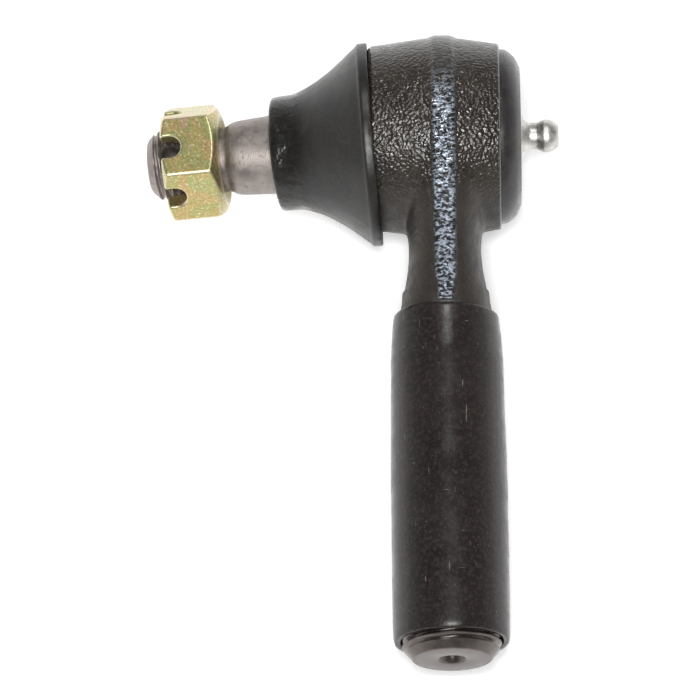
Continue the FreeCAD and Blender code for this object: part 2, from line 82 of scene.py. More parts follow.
def outward(verts, faces):
    """Faces turned so that the closed mesh has positive volume."""
    v = np.asarray(verts)
    vol = 0.0
    for f in faces:
        a = v[f[0]]
        for i in range(1, len(f) - 1):
            vol += np.dot(a, np.cross(v[f[i]], v[f[i + 1]]))
    if vol < 0:
        faces = [tuple(reversed(f)) for f in faces]
    return faces


def revolve(name, profile, rot=SOCKET, seg=128, radius=None, angle=30.0, closed=False, place=None):
    """Solid of revolution. profile is [(along, r)]; if not closed it runs from axis to axis.
    radius(a, theta, r) may change a radius; place(a, r, theta) may give the point itself."""
    prof = np.array(profile, float)
    n = len(prof)
    th = np.arange(seg) * 2 * math.pi / seg
    verts, faces, index = [], [], []
    for i in range(n):
        a, r = prof[i]
        if r < 1e-6 and not closed:
            index.append([len(verts)])
            verts.append(place(np.array([a]), np.array([0.0]), np.array([0.0]))[0] if place
                         else rot @ np.array([a, 0, 0]))
            continue
        aa = np.full(seg, a)
        rr = np.full(seg, r)
        if radius is not None:
            rr = radius(aa, th, rr)
        if place is not None:
            pts = place(aa, rr, th)
        else:
            pts = (rot @ np.stack([aa, rr * np.cos(th), rr * np.sin(th)])).T
        index.append(list(range(len(verts), len(verts) + seg)))
        verts.extend(list(pts))
    rows = list(range(n)) + ([0] if closed else [])
    for p, q in zip(rows[:-1], rows[1:]):
        A, B = index[p], index[q]
        if len(A) == 1 and len(B) == 1:
            continue
        for j in range(seg):
            k = (j + 1) % seg
            if len(A) == 1:
                faces.append((A[0], B[k], B[j]))
            elif len(B) == 1:
                faces.append((A[j], A[k], B[0]))
            else:
                faces.append((A[j], A[k], B[k], B[j]))
    faces = outward(verts, faces)
    return make(name, verts, faces, angle=angle)


def fine(profile, step, closed=False):
    """Profile with long runs divided."""
    pts = [tuple(p) for p in profile]
    if closed:
        pts = pts + [pts[0]]
    out = []
    for (a, r), (b, q) in zip(pts[:-1], pts[1:]):
        n = max(1, int(math.ceil(math.hypot(b - a, q - r) / step)))
        for i in range(n):
            t = i / n
            out.append((a + (b - a) * t, r + (q - r) * t))
    if not closed:
        out.append(pts[-1])
    return out


def rounded(profile, rad, closed=False, steps=3):
    """Profile with each corner cut back and rounded by up to rad."""
    P = [np.array(p, float) for p in profile]
    n = len(P)
    out = []
    for i in range(n):
        if not closed and i in (0, n - 1):
            out.append(tuple(P[i]))
            continue
        a, b, c = P[i - 1], P[i], P[(i + 1) % n]
        la_, lc_ = np.linalg.norm(a - b), np.linalg.norm(c - b)
        if la_ < 1e-9 or lc_ < 1e-9:
            continue
        cut = min(rad, la_ * 0.45, lc_ * 0.45)
        p, q = b + (a - b) / la_ * cut, b + (c - b) / lc_ * cut
        for s in range(steps + 1):
            t = s / steps
            out.append(tuple((1 - t) ** 2 * p + 2 * t * (1 - t) * b + t * t * q))
    return out


def boolean(ob, tool, operation, keep_tool=False):
    m = ob.modifiers.new("b", "BOOLEAN")
    m.operation = operation
    m.object = tool
    m.solver = "MANIFOLD"
    dg = bpy.context.evaluated_depsgraph_get()
    me = bpy.data.meshes.new_from_object(ob.evaluated_get(dg))
    if len(me.polygons) < 10:
        m.solver = "EXACT"
        dg = bpy.context.evaluated_depsgraph_get()
        me = bpy.data.meshes.new_from_object(ob.evaluated_get(dg))
    ob.modifiers.clear()
    old = ob.data
    ob.data = me
    bpy.data.meshes.remove(old)
    if not keep_tool:
        data = tool.data
        bpy.data.objects.remove(tool)
        bpy.data.meshes.remove(data)
    return ob


def shade(ob, angle=30.0):
    ob.data.shade_smooth()
    ob.data.set_sharp_from_angle(angle=math.radians(angle))


def smin(a, b, k):
    h = np.clip(0.5 + 0.5 * (b - a) / k, 0, 1)
    return b * (1 - h) + a * h - k * h * (1 - h)


def smax(a, b, k):
    return -smin(-a, -b, k)


def step01(x, lo, hi):
    t = np.clip((x - lo) / (hi - lo), 0, 1)
    return t * t * (3 - 2 * t)


def snoise(P, scale, seed=0.0):
    """Smooth noise in about -1..1 at each millimetre point; scale is the size of its lumps."""
    off = Vector((seed * 17.3, seed * 5.1 + 3.7, -seed * 9.7))
    q = np.asarray(P) / scale
    return np.array([noise.noise(Vector(p) + off) for p in q])


def surface(field, lo, hi, h, rounds=3):
    """Closed quad mesh of field = 0 (negative inside), by surface nets, then pulled onto it."""
    axes = [np.arange(lo[i], hi[i] + h, h) for i in range(3)]
    X, Y, Z = np.meshgrid(*axes, indexing="ij")
    F = field(np.stack([X.ravel(), Y.ravel(), Z.ravel()], axis=1)).reshape(X.shape)
    nx, ny, nz = F.shape
    inside = F < 0
    cs = [(0, 0, 0), (1, 0, 0), (0, 1, 0), (1, 1, 0), (0, 0, 1), (1, 0, 1), (0, 1, 1), (1, 1, 1)]

    def corner(A, c):
        return A[c[0]:nx - 1 + c[0], c[1]:ny - 1 + c[1], c[2]:nz - 1 + c[2]]

    total = sum(corner(inside, c).astype(np.int8) for c in cs)
    mixed = (total > 0) & (total < 8)
    ids = -np.ones(mixed.shape, int)
    ids[mixed] = np.arange(mixed.sum())
    base = np.argwhere(mixed).astype(float)
    vals = [corner(F, c)[mixed] for c in cs]
    acc = np.zeros((len(base), 3))
    cnt = np.zeros(len(base))
    edges = [(0, 1), (2, 3), (4, 5), (6, 7), (0, 2), (1, 3), (4, 6), (5, 7), (0, 4), (1, 5), (2, 6), (3, 7)]
    for a, b in edges:
        va, vb = vals[a], vals[b]
        m = (va < 0) != (vb < 0)
        t = np.where(m, va / np.where(m, va - vb, 1.0), 0)
        p = np.array(cs[a], float) + t[:, None] * (np.array(cs[b], float) - np.array(cs[a], float))
        acc[m] += p[m]
        cnt[m] += 1
    V = (base + acc / cnt[:, None]) * h + np.array(lo, float)
    quads = []
    for ax in range(3):
        o1, o2 = [(1, 2), (2, 0), (0, 1)][ax]
        sl0 = [slice(None)] * 3
        sl1 = [slice(None)] * 3
        sl0[ax] = slice(0, F.shape[ax] - 1)
        sl1[ax] = slice(1, F.shape[ax])
        change = inside[tuple(sl0)] != inside[tuple(sl1)]
        idx = np.argwhere(change)
        ok = (idx[:, o1] > 0) & (idx[:, o2] > 0) & (idx[:, o1] < F.shape[o1] - 1) & (idx[:, o2] < F.shape[o2] - 1)
        idx = idx[ok]
        first = inside[tuple(idx.T)]
        d1 = np.zeros(3, int); d1[o1] = 1
        d2 = np.zeros(3, int); d2[o2] = 1
        c0 = ids[tuple((idx - d1 - d2).T)]
        c1 = ids[tuple((idx - d2).T)]
        c2 = ids[tuple(idx.T)]
        c3 = ids[tuple((idx - d1).T)]
        q = np.stack([c0, c1, c2, c3], axis=1)
        q[~first] = q[~first][:, ::-1]
        quads.append(q)
    Q = np.concatenate(quads)
    e = 0.02
    for _ in range(rounds):
        f = field(V)
        g = np.stack([(field(V + d) - field(V - d)) / (2 * e) for d in np.eye(3) * e], axis=1)
        g2 = np.maximum((g * g).sum(axis=1), 0.05)
        move = -(f / g2)[:, None] * g
        ln = np.linalg.norm(move, axis=1)
        move *= np.minimum(1.0, 0.6 * h / np.maximum(ln, 1e-9))[:, None]
        V = V + move
    return V, Q


def attribute(ob, name, values):
    at = ob.data.attributes.get(name) or ob.data.attributes.new(name, "FLOAT", "POINT")
    at.data.foreach_set("value", np.asarray(values, np.float32))


def coords(ob):
    co = np.empty(len(ob.data.vertices) * 3)
    ob.data.vertices.foreach_get("co", co)
    return co.reshape(-1, 3) / MM


# ------------------------------------------------------------------ material helpers
class Nodes:
    def __init__(self, name):
        self.m = bpy.data.materials.new(name)
        self.m.use_nodes = True
        self.t = self.m.node_tree
        self.t.nodes.clear()
        self.out = self.t.nodes.new("ShaderNodeOutputMaterial")
        self.b = self.t.nodes.new("ShaderNodeBsdfPrincipled")
        self.t.links.new(self.b.outputs[0], self.out.inputs[0])
        self.co = self.t.nodes.new("ShaderNodeTexCoord").outputs["Object"]

    def put(self, socket, value):
        if isinstance(value, bpy.types.NodeSocket):
            self.t.links.new(value, socket)
        else:
            socket.default_value = value

    def set(self, **kw):
        names = {"color": "Base Color", "rough": "Roughness", "metal": "Metallic", "normal": "Normal",
                 "spec": "Specular IOR Level", "coat": "Coat Weight", "coat_rough": "Coat Roughness",
                 "aniso": "Anisotropic", "sheen": "Sheen Weight", "ior": "IOR"}
        for k, v in kw.items():
            if k == "color" and not isinstance(v, bpy.types.NodeSocket):
                v = (v[0], v[1], v[2], 1.0)
            self.put(self.b.inputs[names[k]], v)

    def map(self, scale=(1, 1, 1), source=None, rot=(0, 0, 0)):
        n = self.t.nodes.new("ShaderNodeMapping")
        n.inputs["Scale"].default_value = scale
        n.inputs["Rotation"].default_value = rot
        self.put(n.inputs["Vector"], source or self.co)
        return n.outputs[0]

    def noise(self, scale, detail=3.0, rough=0.5, vec=None, distortion=0.0, color=False):
        n = self.t.nodes.new("ShaderNodeTexNoise")
        n.inputs["Scale"].default_value = scale
        n.inputs["Detail"].default_value = detail
        n.inputs["Roughness"].default_value = rough
        n.inputs["Distortion"].default_value = distortion
        self.put(n.inputs["Vector"], vec or self.co)
        return n.outputs["Color" if color else "Fac"]

    def voronoi(self, scale, vec=None, feature="F1", out="Distance", randomness=1.0):
        n = self.t.nodes.new("ShaderNodeTexVoronoi")
        n.feature = feature
        n.inputs["Scale"].default_value = scale
        n.inputs["Randomness"].default_value = randomness
        self.put(n.inputs["Vector"], vec or self.co)
        return n.outputs[out]

    def math(self, op, a, b=0.0, c=0.0, clamp=False):
        n = self.t.nodes.new("ShaderNodeMath")
        n.operation = op
        n.use_clamp = clamp
        self.put(n.inputs[0], a)
        self.put(n.inputs[1], b)
        self.put(n.inputs[2], c)
        return n.outputs[0]

    def ramp(self, fac, lo, hi, a=0.0, b=1.0, smooth=True):
        n = self.t.nodes.new("ShaderNodeMapRange")
        n.interpolation_type = "SMOOTHSTEP" if smooth else "LINEAR"
        self.put(n.inputs["Value"], fac)
        n.inputs["From Min"].default_value = lo
        n.inputs["From Max"].default_value = hi
        n.inputs["To Min"].default_value = a
        n.inputs["To Max"].default_value = b
        return n.outputs[0]

    def colors(self, fac, stops):
        n = self.t.nodes.new("ShaderNodeValToRGB")
        r = n.color_ramp
        while len(r.elements) < len(stops):
            r.elements.new(0.5)
        for e, (p, c) in zip(r.elements, stops):
            e.position = p
            e.color = (c[0], c[1], c[2], 1.0)
        self.put(n.inputs[0], fac)
        return n.outputs[0]

    def mix(self, fac, a, b, blend="MIX"):
        n = self.t.nodes.new("ShaderNodeMix")
        n.data_type = "RGBA"
        n.blend_type = blend
        self.put(n.inputs[0], fac)
        for sock, v in ((n.inputs[6], a), (n.inputs[7], b)):
            if not isinstance(v, bpy.types.NodeSocket):
                v = (v[0], v[1], v[2], 1.0)
            self.put(sock, v)
        return n.outputs[2]

    def attr(self, name):
        n = self.t.nodes.new("ShaderNodeAttribute")
        n.attribute_name = name
        return n.outputs["Fac"]

    def xyz(self, vec=None):
        n = self.t.nodes.new("ShaderNodeSeparateXYZ")
        self.put(n.inputs[0], vec or self.co)
        return n.outputs

    def bump(self, height, distance, strength=1.0, normal=None):
        n = self.t.nodes.new("ShaderNodeBump")
        n.inputs["Strength"].default_value = strength
        n.inputs["Distance"].default_value = distance
        self.put(n.inputs["Height"], height)
        if normal is not None:
            self.put(n.inputs["Normal"], normal)
        return n.outputs[0]


def along(m, direction):
    """Distance along a direction, in metres, as a socket."""
    n = m.t.nodes.new("ShaderNodeVectorMath")
    n.operation = "DOT_PRODUCT"
    m.put(n.inputs[0], m.co)
    n.inputs[1].default_value = tuple(direction)
    return n.outputs["Value"]


def assign(ob, *mats):
    ob.data.materials.clear()
    for m in mats:
        ob.data.materials.append(m)


# ------------------------------------------------------------------ materials
def mat_forging():
    m = Nodes("forging_paint")
    band = m.attr("flash")
    edge = m.attr("edge")
    big = m.noise(160, 3.0)
    peel = m.noise(1650, 0.6, 0.4)
    lump = m.voronoi(1400, feature="SMOOTH_F1")
    yy = m.xyz()[1]
    calm = m.math("MULTIPLY", m.ramp(yy, -0.0175, -0.0125, 0.25, 1.0), m.ramp(yy, 0.006, 0.013, 1.0, 0.6))
    shear = m.noise(1.0, 1.0, 0.5, vec=m.map((1000, 1800, 1400)), distortion=0.6)
    body_h = m.math("ADD", m.math("MULTIPLY", peel, 1.5), m.math("MULTIPLY", lump, 0.5))
    band_h = m.math("ADD", m.math("MULTIPLY", shear, 2.6), m.math("MULTIPLY", m.voronoi(1500, feature="SMOOTH_F1"), 0.9))
    body_h = m.math("MULTIPLY", body_h, calm)
    h = m.math("ADD", m.math("MULTIPLY", band_h, band), m.math("MULTIPLY", body_h, m.math("SUBTRACT", 1.0, band)))
    paint = m.colors(big, [(0.3, (0.015, 0.0115, 0.009)), (0.7, (0.027, 0.0205, 0.015))])
    fleck = m.ramp(m.noise(2600, 2.0, 0.6), 0.60, 0.72, 0.0, 0.5)
    paint = m.mix(fleck, paint, (0.075, 0.07, 0.068))
    bare = m.colors(shear, [(0.44, (0.010, 0.010, 0.012)), (0.6, (0.30, 0.34, 0.40))])
    col = m.mix(m.math("MULTIPLY", band, 0.9), paint, bare)
    # the machined step edge is mixed towards pale grey: partly worn thin paint, partly a painted highlight where the
    # bevel catches light
    col = m.mix(m.math("MULTIPLY", edge, 0.6), col, (0.32, 0.31, 0.30))
    rough = m.ramp(m.noise(420, 2.0), 0.3, 0.7, 0.17, 0.3)
    rough = m.math("ADD", rough, m.ramp(yy, -0.0185, -0.0125, 0.25, 0.0))
    m.set(color=col, rough=rough, metal=m.math("MULTIPLY", band, 0.5), spec=0.5,
          normal=m.bump(h, 0.00018, 1.0))
    return m.m


def mat_machined_black():
    m = Nodes("turned_black")
    rings = m.noise(1.0, 2.0, 0.5, vec=m.map((9000, 120, 120)))
    big = m.noise(220, 3.0)
    col = m.colors(big, [(0.3, (0.016, 0.015, 0.016)), (0.7, (0.034, 0.030, 0.030))])
    m.set(color=col, rough=m.ramp(m.noise(900, 3.0), 0.3, 0.7, 0.2, 0.34), spec=0.4,
          normal=m.bump(m.math("ADD", rings, m.math("MULTIPLY", m.noise(1800, 2.0), 0.6)), 0.00003, 0.6))
    return m.m


def mat_rubber():
    m = Nodes("boot_rubber")
    big = m.noise(120, 3.0)
    finev = m.noise(1900, 3.0, 0.6)
    smear = m.noise(210, 3.0, 0.6, distortion=0.8)
    specks = m.ramp(m.noise(3600, 1.0), 0.73, 0.79)
    col = m.colors(big, [(0.3, (0.008, 0.0075, 0.0075)), (0.7, (0.015, 0.0135, 0.012))])
    col = m.mix(m.math("MULTIPLY", specks, 0.4), col, (0.17, 0.15, 0.13))
    col = m.mix(m.ramp(smear, 0.55, 0.75, 0.0, 0.35), col, (0.030, 0.026, 0.021))
    col = m.mix(m.ramp(finev, 0.52, 0.72, 0.0, 0.4), col, (0.040, 0.034, 0.030))
    collar = m.ramp(along(m, S), 0.0265, 0.0290)
    lumps = m.math("MULTIPLY", m.noise(430, 2.0), m.math("ADD", m.math("MULTIPLY", collar, 2.2), 0.5))
    patch = m.ramp(m.noise(330, 3.0, 0.6, distortion=0.6), 0.42, 0.62, 0.13, 0.28)
    m.set(color=col, rough=m.math("ADD", m.math("MULTIPLY", patch, collar), m.math("MULTIPLY", m.ramp(smear, 0.3, 0.7, 0.30, 0.42), m.math("SUBTRACT", 1.0, collar))),
          spec=0.4, normal=m.bump(m.math("ADD", m.math("MULTIPLY", finev, 0.22), lumps), 0.00012, 0.9))
    return m.m


def mat_vinyl():
    m = Nodes("vinyl_sleeve")
    big = m.noise(60, 3.0)
    # faint lengthwise draw lines, dust and short pale scratches
    lines = m.noise(1.0, 2.0, 0.5, vec=m.map((1500, 25, 1500)))
    dust = m.ramp(m.noise(3400, 1.0), 0.72, 0.78)
    scr = m.ramp(m.noise(1.0, 1.0, 0.5, vec=m.map((2400, 260, 2400), rot=(0.2, 0.1, 0.5))), 0.74, 0.79)
    scr2 = m.ramp(m.noise(1.0, 1.0, 0.5, vec=m.map((240, 2200, 1200), rot=(0.0, 0.3, -0.3))), 0.77, 0.81)
    grit = m.noise(1300, 3.0, 0.65)
    col = m.colors(big, [(0.3, (0.010, 0.008, 0.008)), (0.7, (0.018, 0.0145, 0.0135))])
    col = m.mix(m.ramp(grit, 0.45, 0.66, 0.0, 0.75), col, (0.034, 0.026, 0.024))
    col = m.mix(m.math("MULTIPLY", dust, 0.4), col, (0.22, 0.20, 0.17))
    col = m.mix(m.math("MULTIPLY", m.math("MAXIMUM", scr, scr2), 0.45), col, (0.24, 0.22, 0.19))
    h = m.math("ADD", m.math("MULTIPLY", lines, 0.4), m.math("MULTIPLY", m.noise(260, 4.0), 1.0))
    h = m.math("ADD", h, m.math("MULTIPLY", grit, 0.5))
    m.set(color=col, rough=m.ramp(m.noise(300, 4.0), 0.3, 0.7, 0.2, 0.34), spec=0.3,
          normal=m.bump(h, 0.00006, 0.7))
    return m.m


def mat_stud():
    m = Nodes("stud_steel")
    s = along(m, S)
    v = m.t.nodes.new("ShaderNodeCombineXYZ")
    m.put(v.inputs[0], m.math("MULTIPLY", s, 5200.0))
    turned = m.noise(1.0, 3.0, 0.65, vec=v.outputs[0])
    blotch = m.noise(260, 4.0, 0.6)
    col = m.colors(blotch, [(0.25, (0.19, 0.165, 0.155)), (0.55, (0.31, 0.275, 0.255)), (0.8, (0.40, 0.36, 0.33))])
    dark = m.mix(m.math("MULTIPLY", m.ramp(m.noise(900, 3.0), 0.5, 0.75), 0.4), col, (0.08, 0.07, 0.07))
    m.set(color=dark, metal=0.8, rough=m.ramp(blotch, 0.3, 0.7, 0.36, 0.52),
          normal=m.bump(m.math("ADD", m.math("MULTIPLY", turned, 1.4), m.math("MULTIPLY", m.noise(2600, 2.0), 0.9)), 0.00004, 0.8))
    return m.m


def mat_steel_end():
    m = Nodes("shank_steel")
    yy = m.xyz()[1]
    v = m.t.nodes.new("ShaderNodeCombineXYZ")
    x, y, z = m.xyz()
    r = m.math("SQRT", m.math("ADD", m.math("MULTIPLY", x, x), m.math("MULTIPLY", z, z)))
    m.put(v.inputs[0], m.math("MULTIPLY", r, 4200.0))
    m.put(v.inputs[1], m.math("MULTIPLY", yy, 2600.0))
    turned = m.noise(1.0, 3.0, 0.6, vec=v.outputs[0])
    blotch = m.noise(240, 4.0, 0.6)
    col = m.colors(blotch, [(0.25, (0.065, 0.055, 0.052)), (0.6, (0.125, 0.108, 0.10)), (0.85, (0.20, 0.175, 0.16))])
    m.set(color=col, metal=0.9, rough=m.ramp(blotch, 0.3, 0.7, 0.26, 0.4),
          normal=m.bump(m.math("ADD", turned, m.math("MULTIPLY", m.noise(2200, 2.0), 0.4)), 0.00003, 0.6))
    return m.m


def mat_chromate():
    m = Nodes("yellow_chromate")
    wear = m.attr("wear")
    tint = m.noise(120, 2.0, 0.5, distortion=1.2)
    col = m.colors(tint, [(0.30, (0.58, 0.36, 0.20)), (0.42, (0.56, 0.41, 0.17)), (0.5, (0.49, 0.41, 0.15)),
                          (0.58, (0.36, 0.44, 0.17)), (0.66, (0.60, 0.39, 0.24)), (0.76, (0.68, 0.36, 0.33))])
    mottled = m.mix(0.75, (0.46, 0.38, 0.17), col)
    grit = m.noise(1500, 3.0, 0.65)
    mottled = m.mix(m.ramp(m.noise(3300, 1.0, 0.5), 0.44, 0.64, 0.0, 0.45), mottled, (0.24, 0.19, 0.07))
    mottled = m.mix(m.ramp(m.noise(2500, 1.0), 0.56, 0.70, 0.0, 0.6), mottled, (0.84, 0.76, 0.52))
    colr = m.mix(m.math("MULTIPLY", wear, 0.6), mottled, (0.84, 0.78, 0.62))
    m.set(color=colr, metal=0.9, rough=m.ramp(grit, 0.3, 0.7, 0.32, 0.40), coat=0.3, coat_rough=0.2,
          normal=m.bump(m.math("ADD", m.math("MULTIPLY", grit, 0.8), m.math("MULTIPLY", m.noise(420, 2.0), 0.8)), 0.000028, 0.7))
    return m.m


def mat_zinc():
    m = Nodes("bright_zinc")
    x = m.xyz()[0]
    v = m.t.nodes.new("ShaderNodeCombineXYZ")
    m.put(v.inputs[0], m.math("MULTIPLY", x, 6000.0))
    turned = m.noise(1.0, 2.0, 0.5, vec=v.outputs[0])
    col = m.colors(m.noise(700, 3.0), [(0.3, (0.46, 0.45, 0.42)), (0.7, (0.66, 0.65, 0.61))])
    m.set(color=col, metal=1.0, rough=m.ramp(m.noise(1300, 3.0), 0.3, 0.7, 0.34, 0.5),
          normal=m.bump(m.math("ADD", m.math("MULTIPLY", turned, 1.5), m.noise(1700, 2.0)), 0.00003, 0.8))
    return m.m


def mat_simple(name, a, b, metal, r0, r1, scale=700, bump=0.00002):
    m = Nodes(name)
    n = m.noise(scale, 4.0, 0.6)
    m.set(color=m.colors(n, [(0.3, a), (0.7, b)]), metal=metal, rough=m.ramp(n, 0.3, 0.7, r0, r1),
          normal=m.bump(m.noise(scale * 3, 3.0), bump, 0.5))
    return m.m


M = {
    "forging": mat_forging(), "turned_black": mat_machined_black(), "rubber": mat_rubber(),
    "vinyl": mat_vinyl(), "stud": mat_stud(), "shank": mat_steel_end(), "chromate": mat_chromate(),
    "zinc": mat_zinc(),
    "polymer": mat_simple("bearing_polymer", (0.62, 0.59, 0.50), (0.74, 0.71, 0.62), 0.0, 0.35, 0.5),
    "spring": mat_simple("spring_steel", (0.16, 0.16, 0.18), (0.28, 0.28, 0.30), 0.9, 0.25, 0.4),
    "ring": mat_simple("ring_steel", (0.3, 0.3, 0.3), (0.45, 0.45, 0.44), 0.9, 0.25, 0.4),
}


# ------------------------------------------------------------------ housing forging
def neck_half(L):
    xs = [6, 8.8, 12.1, 14.3, 16.1, 18, 20, 22.5, 27, 31, 34.5, 38, 40]
    hx = [10.6, 10.2, 9.6, 9.0, 8.5, 7.95, 7.5, 7.15, 7.3, 7.95, 8.7, 9.5, 9.8]
    hz = [17.8, 17.75, 16.25, 15.2, 14.35, 13.45, 12.55, 11.6, 10.7, 10.15, 9.85, 9.6, 9.6]
    e = [2.6, 2.6, 2.6, 2.6, 2.6, 2.5, 2.4, 2.3, 2.15, 2.05, 2.0, 2.0, 2.0]
    return np.interp(L, xs, hx), np.interp(L, xs, hz), np.interp(L, xs, e)


def smooth_table(L):
    # averages the table over a few millimetres, so the neck has no kinks
    a = [neck_half(L + d) for d in (-1.8, -0.9, 0.0, 0.9, 1.8)]
    return tuple(sum(p[i] for p in a) / 5.0 for i in range(3))


def forging(P):
    x, y, z = P[:, 0], P[:, 1], P[:, 2]
    r = np.sqrt(y * y + z * z)
    neg = (r - (20.0 - 0.134 * (-x - 2.3))) * 0.991
    pos = (r - (19.92 - 0.152 * (x - 2.3))) * 0.989
    d = smax(neg, pos, 0.9)
    d = smax(d, -x - 15.6, 0.8)
    d = smax(d, x - 16.4, 0.8)
    L = -y
    hx, hz, ex = smooth_table(L)
    ax, az = np.abs(x) / hx + 1e-6, np.abs(z) / hz + 1e-6
    q = (ax ** ex + az ** ex) ** (1.0 / ex) + 1e-9
    g = q ** (1.0 - ex) * np.hypot(ax ** (ex - 1) / hx, az ** (ex - 1) / hz) + 1e-9
    n = (q - 1.0) / g
    n = smax(n, L - 38.0, 0.4)
    n = smax(n, -L + 4.0, 1.0)
    d = smin(d, n, 0.75)
    # trimmed flash: a low flat rib along the parting plane
    w = np.interp(L, [-25, 0, 18, 31, 32.5, 33.1, 38], [2.35, 2.35, 2.25, 2.12, 2.1, 1.62, 1.6])
    wob = 0.12 * np.sin(y * 0.9 + 0.7) * np.cos(z * 0.63) + 0.07 * np.sin(y * 2.3 + z * 1.9)
    soft = step01(y, -2.0, 12.0)
    rib = 1.0 - step01((np.abs(x + 0.05 * np.sin(y * 0.5)) - (w + wob * (1 - soft))) / (1 + 2.4 * soft), -0.28, 0.22)
    high = (0.34 + 0.1 * soft) * (1.0 - step01(L, 36.6, 37.4))
    high = high * (1.0 - 0.85 * step01(L, 32.3, 32.6) * (1.0 - step01(L, 32.9, 33.3)))
    return d - rib * high


def forging_mesh():
    V, Q = surface(forging, (-16.5, -39.0, -21.5), (17.2, 21.5, 21.5), 0.36)
    # uneven forged skin: long waves, then orange peel; the flash is torn and coarser
    e = 0.02
    g = np.stack([(forging(V + d) - forging(V - d)) / (2 * e) for d in np.eye(3) * e], axis=1)
    g /= np.maximum(np.linalg.norm(g, axis=1), 1e-9)[:, None]
    L = -V[:, 1]
    w = np.interp(L, [-25, 0, 18, 31, 32.5, 33.1, 38], [2.35, 2.35, 2.25, 2.12, 2.1, 1.62, 1.6])
    on = 1.0 - step01(np.abs(V[:, 0]) - w, -0.45, 0.1)
    on = on * (1.0 - step01(L, 36.9, 37.6)) * step01(np.hypot(V[:, 1], V[:, 2]), 9.0, 9.4)
    on = on * (1 - 0.8 * step01(V[:, 1], -2.0, 12.0))
    body = 0.05 * snoise(V, 6.0, 1) + 0.022 * snoise(V, 1.5, 2)
    rib = 0.05 * snoise(V * np.array([1.0, 2.0, 2.0]), 1.7, 3) + 0.02 * snoise(V, 0.9, 4)
    V = V + g * (body + on * rib)[:, None]
    return make("housing", V, Q, angle=40)


housing = forging_mesh()
LIP = [(11.4, 17.52), (12.4, 17.42), (13.1, 17.05), (13.75, 16.55), (14.35, 15.95), (14.85, 15.2),
       (15.2, 14.35), (15.42, 13.95), (15.5, 13.7)]
envelope = revolve("envelope", [(-15.0, 0.0), (-15.0, 17.5), (-14.75, 17.95), (-14.1, 18.35), (-13.8, 60.0),
                                (10.95, 60.0), (11.05, 18.62), (11.25, 18.4), (11.4, 18.1)] + LIP + [(15.5, 0.0)],
                   seg=224)
boolean(housing, envelope, "INTERSECT")
bore = revolve("bore", [(-16.5, 0.0), (-16.5, 14.9), (-15.15, 14.36), (-14.9, 14.16), (-7.2, 11.0), (-7.2, 15.2), (10.9, 15.2),
                        (10.9, 15.9), (13.3, 15.9), (13.3, 13.45), (14.9, 13.4), (15.2, 13.55), (16.5, 14.4),
                        (16.5, 0.0)], seg=224)
boolean(housing, bore, "DIFFERENCE")


def helix_rows(start, stop, pitch, major, minor, per, fade_in=0.0, cap=None):
    """Row positions and a radius function for a right-hand thread."""
    count = int(round((stop - start) / pitch * per))
    rows = [start + (stop - start) * i / count for i in range(count + 1)]

    def radius(a, th):
        ph = (a / pitch - th / (2 * math.pi)) % 1.0
        tri = np.abs(ph - 0.5) * 2.0                       # 0 crest centre .. 1 root centre
        g = np.clip((tri - 0.14) / (0.84 - 0.14), 0, 1)
        g = g * g * (3 - 2 * g) * 0.45 + g * 0.55
        fade = np.clip((a - start) / max(fade_in, 1e-6), 0, 1) if fade_in else 1.0
        r = major - (major - minor) * g * fade
        return r if cap is None else np.minimum(r, cap(a))
    return rows, radius


# shank: relief, rolled M20 thread, chamfered end with a centre drilling
t_rows, t_rad = helix_rows(42.0, 108.7, 1.5, 9.9, 8.98, 9, fade_in=1.6,
                           cap=lambda a: np.where(a > 106.5, 9.9 - (a - 106.5) * 0.82, 9.9))
shank_prof = [(33.0, 0.0), (33.0, 8.7), (39.3, 9.15), (39.9, 9.05), (41.2, 9.0)] + [(a, 9.0) for a in t_rows]
shank_prof += [(108.85, 7.98), (108.97, 7.8), (109.0, 7.6), (109.0, 5.4), (108.98, 3.1), (108.9, 2.75), (108.55, 2.5), (106.55, 1.3),
               (106.3, 1.25), (101.5, 1.25), (100.8, 0.0)]
t_set = set(t_rows)


def shank_radius(a, th, r):
    return t_rad(a, th) if a[0] in t_set else r


shank = revolve("shank", shank_prof, rot=SHANK, seg=112, radius=shank_radius, angle=28)
boolean(housing, shank, "UNION")
housing.name = "socket_forging"
shade(housing, 42)
P = coords(housing)
r_yz = np.hypot(P[:, 1], P[:, 2])
flash = np.clip(1.0 - step01(np.abs(P[:, 0]) - np.interp(-P[:, 1], [-25, 0, 18, 31, 32.5, 33.1, 38], [2.35, 2.35, 2.25, 2.12, 2.1, 1.62, 1.6]), -0.35, 0.15), 0, 1)
flash = flash * (r_yz > 15.9) * (1.0 - step01(-P[:, 1], 36.6, 37.4))
flash = np.where((-P[:, 1] > 12) & (r_yz <= 15.9), 0, flash)
neck_flash = (1.0 - step01(np.abs(P[:, 0]) - np.interp(-P[:, 1], [0, 18, 31, 32.5, 33.1, 38], [2.35, 2.25, 2.12, 2.1, 1.62, 1.6]), -0.35, 0.15)) * (-P[:, 1] > 10) * (-P[:, 1] < 37) * (np.abs(P[:, 2]) > 7)
attribute(housing, "flash", np.maximum(flash, neck_flash) * (1 - 0.9 * step01(P[:, 1], -1.0, 11.0)))
# mask for the lightened line along the machined step edge at x about 11.3: partly worn thin paint, partly a painted
# highlight
step_edge_wear_and_highlight = np.exp(-((P[:, 0] - 11.3) / 0.18) ** 2) * (np.abs(r_yz - 18.3) < 0.5)
attribute(housing, "edge", step_edge_wear_and_highlight)
assign(housing, M["forging"], M["turned_black"], M["shank"])
for poly in housing.data.polygons:
    c = np.array(poly.center) / MM
    rr = math.hypot(c[1], c[2])
    if c[1] < -37.95:
        poly.material_index = 2
    elif c[0] > 11.3 and rr < 19:
        poly.material_index = 1
    elif rr < 16.2 and -c[1] < 16 and c[0] > -15.2:
        poly.material_index = 1 if rr > 15.95 or c[0] < -7 else 2
    else:
        poly.material_index = 0

